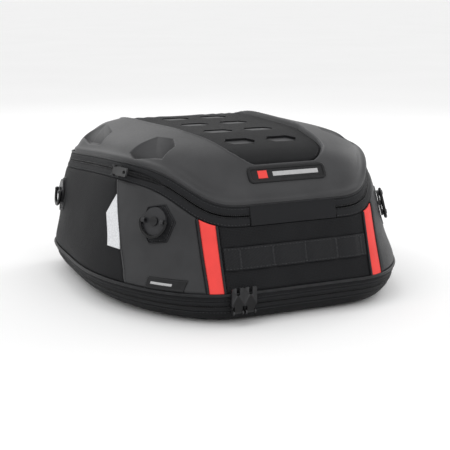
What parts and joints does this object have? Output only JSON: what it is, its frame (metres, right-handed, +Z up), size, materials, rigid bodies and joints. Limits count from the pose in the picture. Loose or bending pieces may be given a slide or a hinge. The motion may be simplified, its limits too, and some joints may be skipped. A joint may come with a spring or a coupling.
{
  "type": "motorcycle soft tank or tail bag",
  "caption": "Soft motorcycle bag with a moulded zipped lid, grey side patches, red corner strips, webbing row, lashing rings and a base that zips open to grow taller.",
  "frame": {"origin": "bottom centre of the bag, on the floor plane", "axes": "+Z up, label face towards -Y, +X to the right seen from behind the label face (bag symmetric about X = 0 except small trim)"},
  "size_m": [0.3446, 0.3408, 0.169],
  "materials": {
    "black_ballistic": "coarse woven black nylon",
    "grey_patch": "smooth coated grey cloth",
    "eva_lid": "moulded grey EVA foam skin",
    "black_smooth": "smooth black tape and webbing",
    "zip_teeth": "nylon coil",
    "piping": "dark cord piping",
    "red_strip": "bright coral red band",
    "reflector": "silver reflective film",
    "label": "blank rubber label",
    "lining": "light grey lining",
    "mesh": "open mesh",
    "board": "stiff base board",
    "grip": "ribbed grip rubber",
    "hardware": "satin black moulded hardware",
    "metal": "black painted metal"
  },
  "bodies": {
    "base": {"base_pan": "black_ballistic", "base_board": "board", "grip_pads": "grip", "expansion_tape_lower": "black_smooth", "expansion_teeth_lower": "zip_teeth", "expansion_gusset": "black_smooth"},
    "shell": {"expansion_teeth_upper": "zip_teeth", "expansion_tape_upper": "black_smooth", "base_band": "black_ballistic", "seam_piping": "piping", "rear_wall": "black_ballistic", "front_wall": "black_ballistic", "side_wall_left": "black_ballistic", "side_wall_right": "black_ballistic", "side_patch_left": "grey_patch", "side_patch_right": "grey_patch", "reflector_left": "reflector", "reflector_right": "reflector", "red_strip_left": "red_strip", "red_strip_right": "red_strip", "strip_piping": "piping", "blank_tag": "label", "webbing_row": "black_smooth", "webbing_tacks": "piping", "carry_handle": "black_smooth", "main_zip_tape_lower": "black_smooth", "main_zip_teeth_lower": "zip_teeth", "lid_hinge_fabric": "black_smooth", "ring_patch_rear_left": "grey_patch", "ring_patch_rear_right": "grey_patch", "ring_patch_front_left": "grey_patch", "ring_patch_front_right": "grey_patch", "ring_rivets": "metal"},
    "lid": {"main_zip_teeth_upper": "zip_teeth", "main_zip_tape_upper": "black_smooth", "lid_shell": "eva_lid", "lid_binding": "piping", "lid_lining": "lining", "lid_mesh_pocket": "mesh", "top_panel": "black_ballistic", "badge_rim": "label", "badge_plate": "label"},
    "swivel_rear_left": {"ring_swivel_rear_left": "hardware"},
    "bail_rear_left": {"ring_bail_rear_left": "metal"},
    "swivel_rear_right": {"ring_swivel_rear_right": "hardware"},
    "bail_rear_right": {"ring_bail_rear_right": "metal"},
    "swivel_front_left": {"ring_swivel_front_left": "hardware"},
    "bail_front_left": {"ring_bail_front_left": "metal"},
    "swivel_front_right": {"ring_swivel_front_right": "hardware"},
    "bail_front_right": {"ring_bail_front_right": "metal"},
    "main_left_slider_body": {"main_left_slider": "metal"},
    "main_left_puller_body": {"main_left_puller": "metal"},
    "main_right_slider_body": {"main_right_slider": "metal"},
    "main_right_puller_body": {"main_right_puller": "metal"},
    "expansion_a_slider_body": {"expansion_a_slider": "metal"},
    "expansion_a_puller_body": {"expansion_a_puller": "metal"},
    "expansion_b_slider_body": {"expansion_b_slider": "metal"},
    "expansion_b_puller_body": {"expansion_b_puller": "metal"}
  },
  "joints": [
    {"name": "expansion_lift", "type": "slide", "parent": "base", "child": "shell", "axis": [0, 0, 1], "range_m": [0, 0.06], "deforming": ["expansion_gusset"]},
    {"name": "lid_hinge", "type": "hinge", "parent": "shell", "child": "lid", "pos_m": [0, -0.1445, 0.0995], "axis": [1, 0, 0], "range_deg": [0, 100], "deforming": ["lid_hinge_fabric"]},
    {"name": "ring_swivel_rear_left", "type": "hinge", "parent": "shell", "child": "swivel_rear_left", "pos_m": [-0.12501, -0.09731, 0.093], "axis": [-0.8368, -0.4862, 0.2518], "continuous": true},
    {"name": "ring_bail_rear_left", "type": "hinge", "parent": "swivel_rear_left", "child": "bail_rear_left", "pos_m": [-0.12937, -0.09984, 0.09431], "axis": [-0.5024, 0.8646, 0], "range_deg": [0, 165]},
    {"name": "ring_swivel_rear_right", "type": "hinge", "parent": "shell", "child": "swivel_rear_right", "pos_m": [0.12565, -0.09775, 0.09], "axis": [0.8387, -0.4861, 0.2456], "continuous": true},
    {"name": "ring_bail_rear_right", "type": "hinge", "parent": "swivel_rear_right", "child": "bail_rear_right", "pos_m": [0.13001, -0.10028, 0.09128], "axis": [-0.335, -0.105, 0.9363], "range_deg": [0, 165]},
    {"name": "ring_swivel_front_left", "type": "hinge", "parent": "shell", "child": "swivel_front_left", "pos_m": [-0.15242, 0.12007, 0.088], "axis": [-0.9737, 0.1508, 0.1707], "continuous": true},
    {"name": "ring_bail_front_left", "type": "hinge", "parent": "swivel_front_left", "child": "bail_front_left", "pos_m": [-0.15749, 0.12085, 0.08889], "axis": [0.153, 0.9882, 0], "range_deg": [0, 165]},
    {"name": "ring_swivel_front_right", "type": "hinge", "parent": "shell", "child": "swivel_front_right", "pos_m": [0.15242, 0.12007, 0.088], "axis": [0.9737, 0.1508, 0.1707], "continuous": true},
    {"name": "ring_bail_front_right", "type": "hinge", "parent": "swivel_front_right", "child": "bail_front_right", "pos_m": [0.15749, 0.12085, 0.08889], "axis": [0.153, -0.9882, 0], "range_deg": [0, 165]},
    {"name": "main_left_slide", "type": "slide", "parent": "shell", "child": "main_left_slider_body", "axis": [-0.1001, 0.9938, -0.0485], "range_m": [0, 0.06]},
    {"name": "main_left_pull", "type": "hinge", "parent": "main_left_slider_body", "child": "main_left_puller_body", "pos_m": [-0.1431, -0.0286, 0.13391], "axis": [-0.2855, -0.0754, -0.9554], "range_deg": [0, 150]},
    {"name": "main_right_slide", "type": "slide", "parent": "shell", "child": "main_right_slider_body", "axis": [1, 0, 0], "range_m": [0, 0.055]},
    {"name": "main_right_pull", "type": "hinge", "parent": "main_right_slider_body", "child": "main_right_puller_body", "pos_m": [0.02776, 0.16231, 0.1209], "axis": [0, 0.072, -0.9974], "range_deg": [0, 150]},
    {"name": "expansion_a_slide", "type": "slide", "parent": "base", "child": "expansion_a_slider_body", "axis": [1, 0, 0], "range_m": [0, 0.1]},
    {"name": "expansion_b_slide", "type": "slide", "parent": "base", "child": "expansion_b_slider_body", "axis": [-1, 0, 0], "range_m": [0, 0.02]},
    {"name": "expansion_a_pull", "type": "hinge", "parent": "expansion_a_slider_body", "child": "expansion_a_puller_body", "pos_m": [-0.058, -0.1669, 0.014], "axis": [1, 0, 0], "range_deg": [0, 110]},
    {"name": "expansion_b_pull", "type": "hinge", "parent": "expansion_b_slider_body", "child": "expansion_b_puller_body", "pos_m": [-0.071, -0.1669, 0.014], "axis": [1, 0, 0], "range_deg": [0, 110]}
  ]
}
